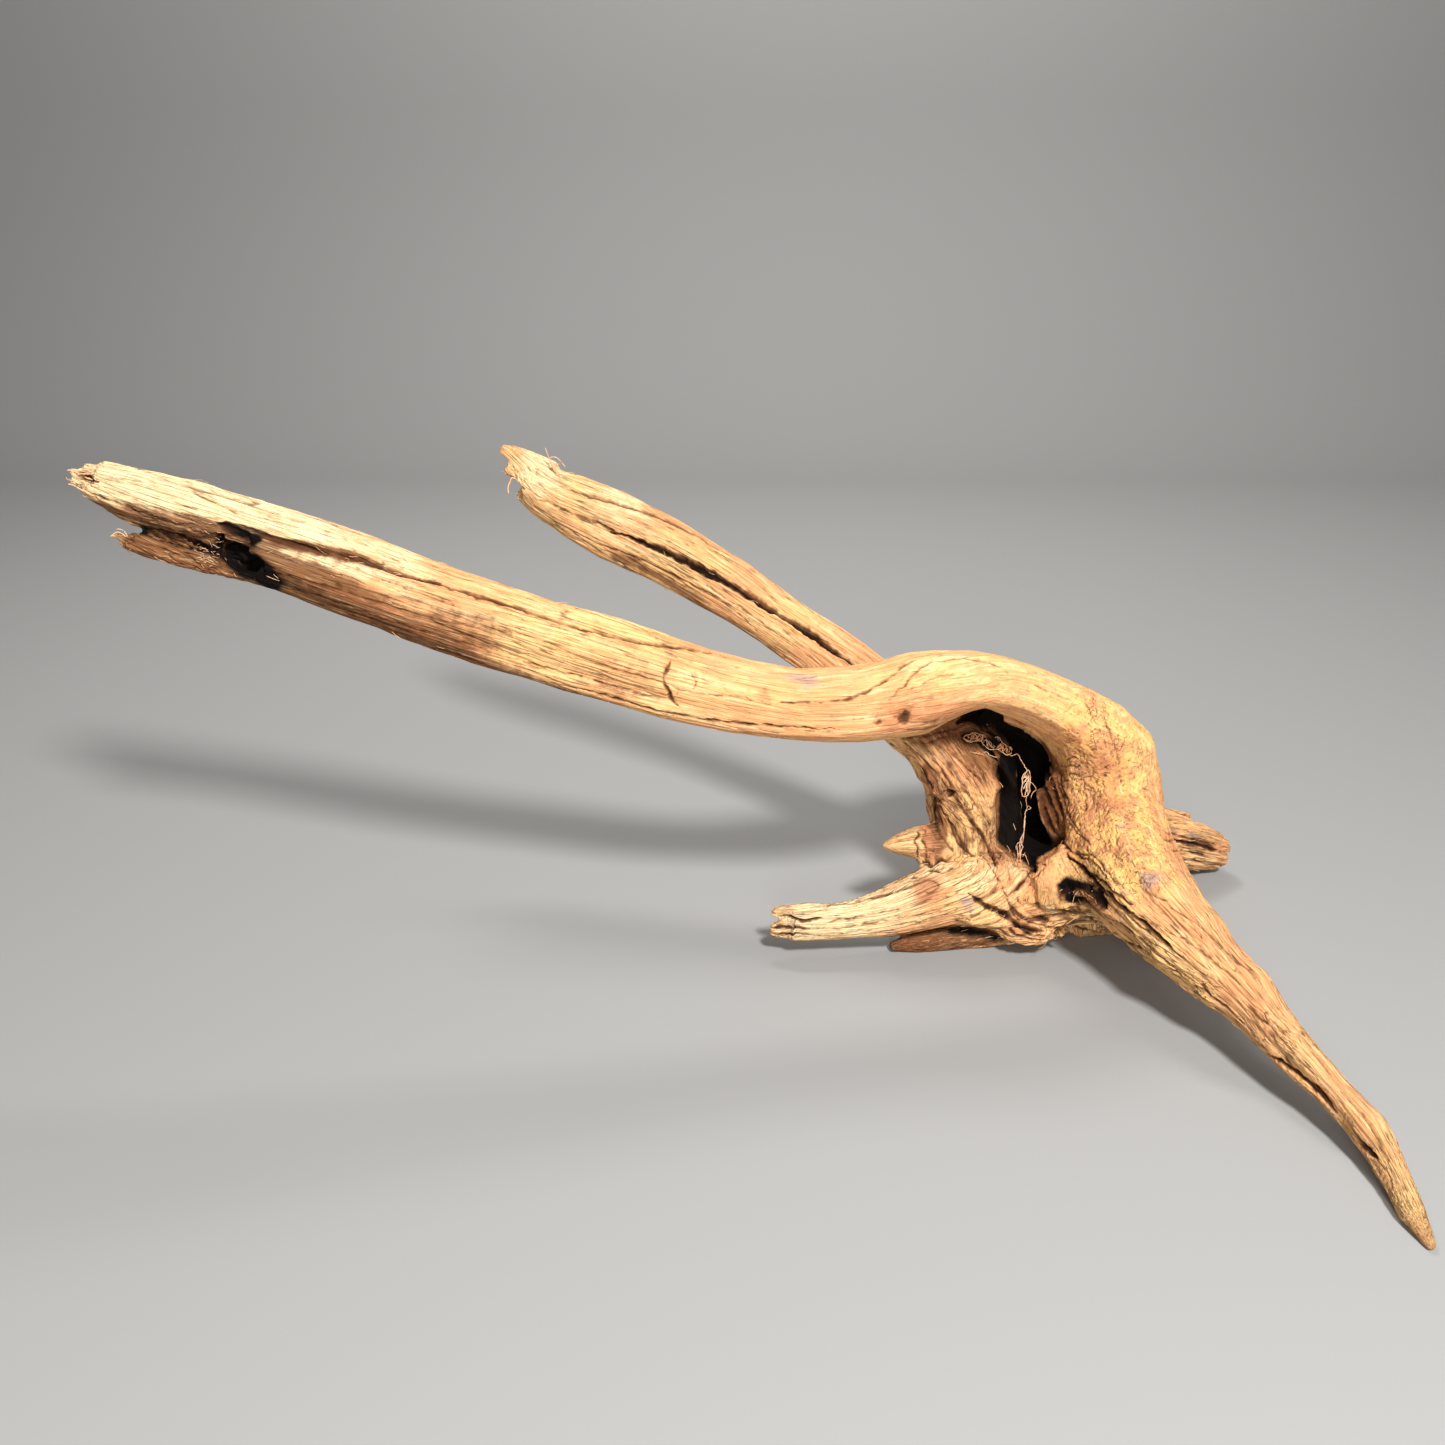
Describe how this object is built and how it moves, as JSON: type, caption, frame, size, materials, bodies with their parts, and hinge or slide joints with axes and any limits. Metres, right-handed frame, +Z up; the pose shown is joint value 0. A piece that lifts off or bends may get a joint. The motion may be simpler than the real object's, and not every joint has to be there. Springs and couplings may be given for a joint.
{
  "type": "aquarium driftwood",
  "caption": "Weathered root stock with an arched, hollowed trunk, long limbs that reach out over one side and roots that spread over the floor, for decorating an aquarium or terrarium.",
  "frame": {"origin": "on the floor, in the middle of the flat foot under the trunk", "axes": "+X from the tips of the long limbs towards the back root, along the longest extent; +Y away from the viewer; +Z up"},
  "size_m": [0.6576, 0.4213, 0.285],
  "materials": {
    "wood": "dry weathered, matte, with open grain"
  },
  "bodies": {
    "root": {"trunk": "wood", "front_limb": "wood", "rear_limb": "wood", "left_root": "wood", "front_root": "wood", "back_root": "wood", "under_root": "wood"}
  },
  "joints": []
}
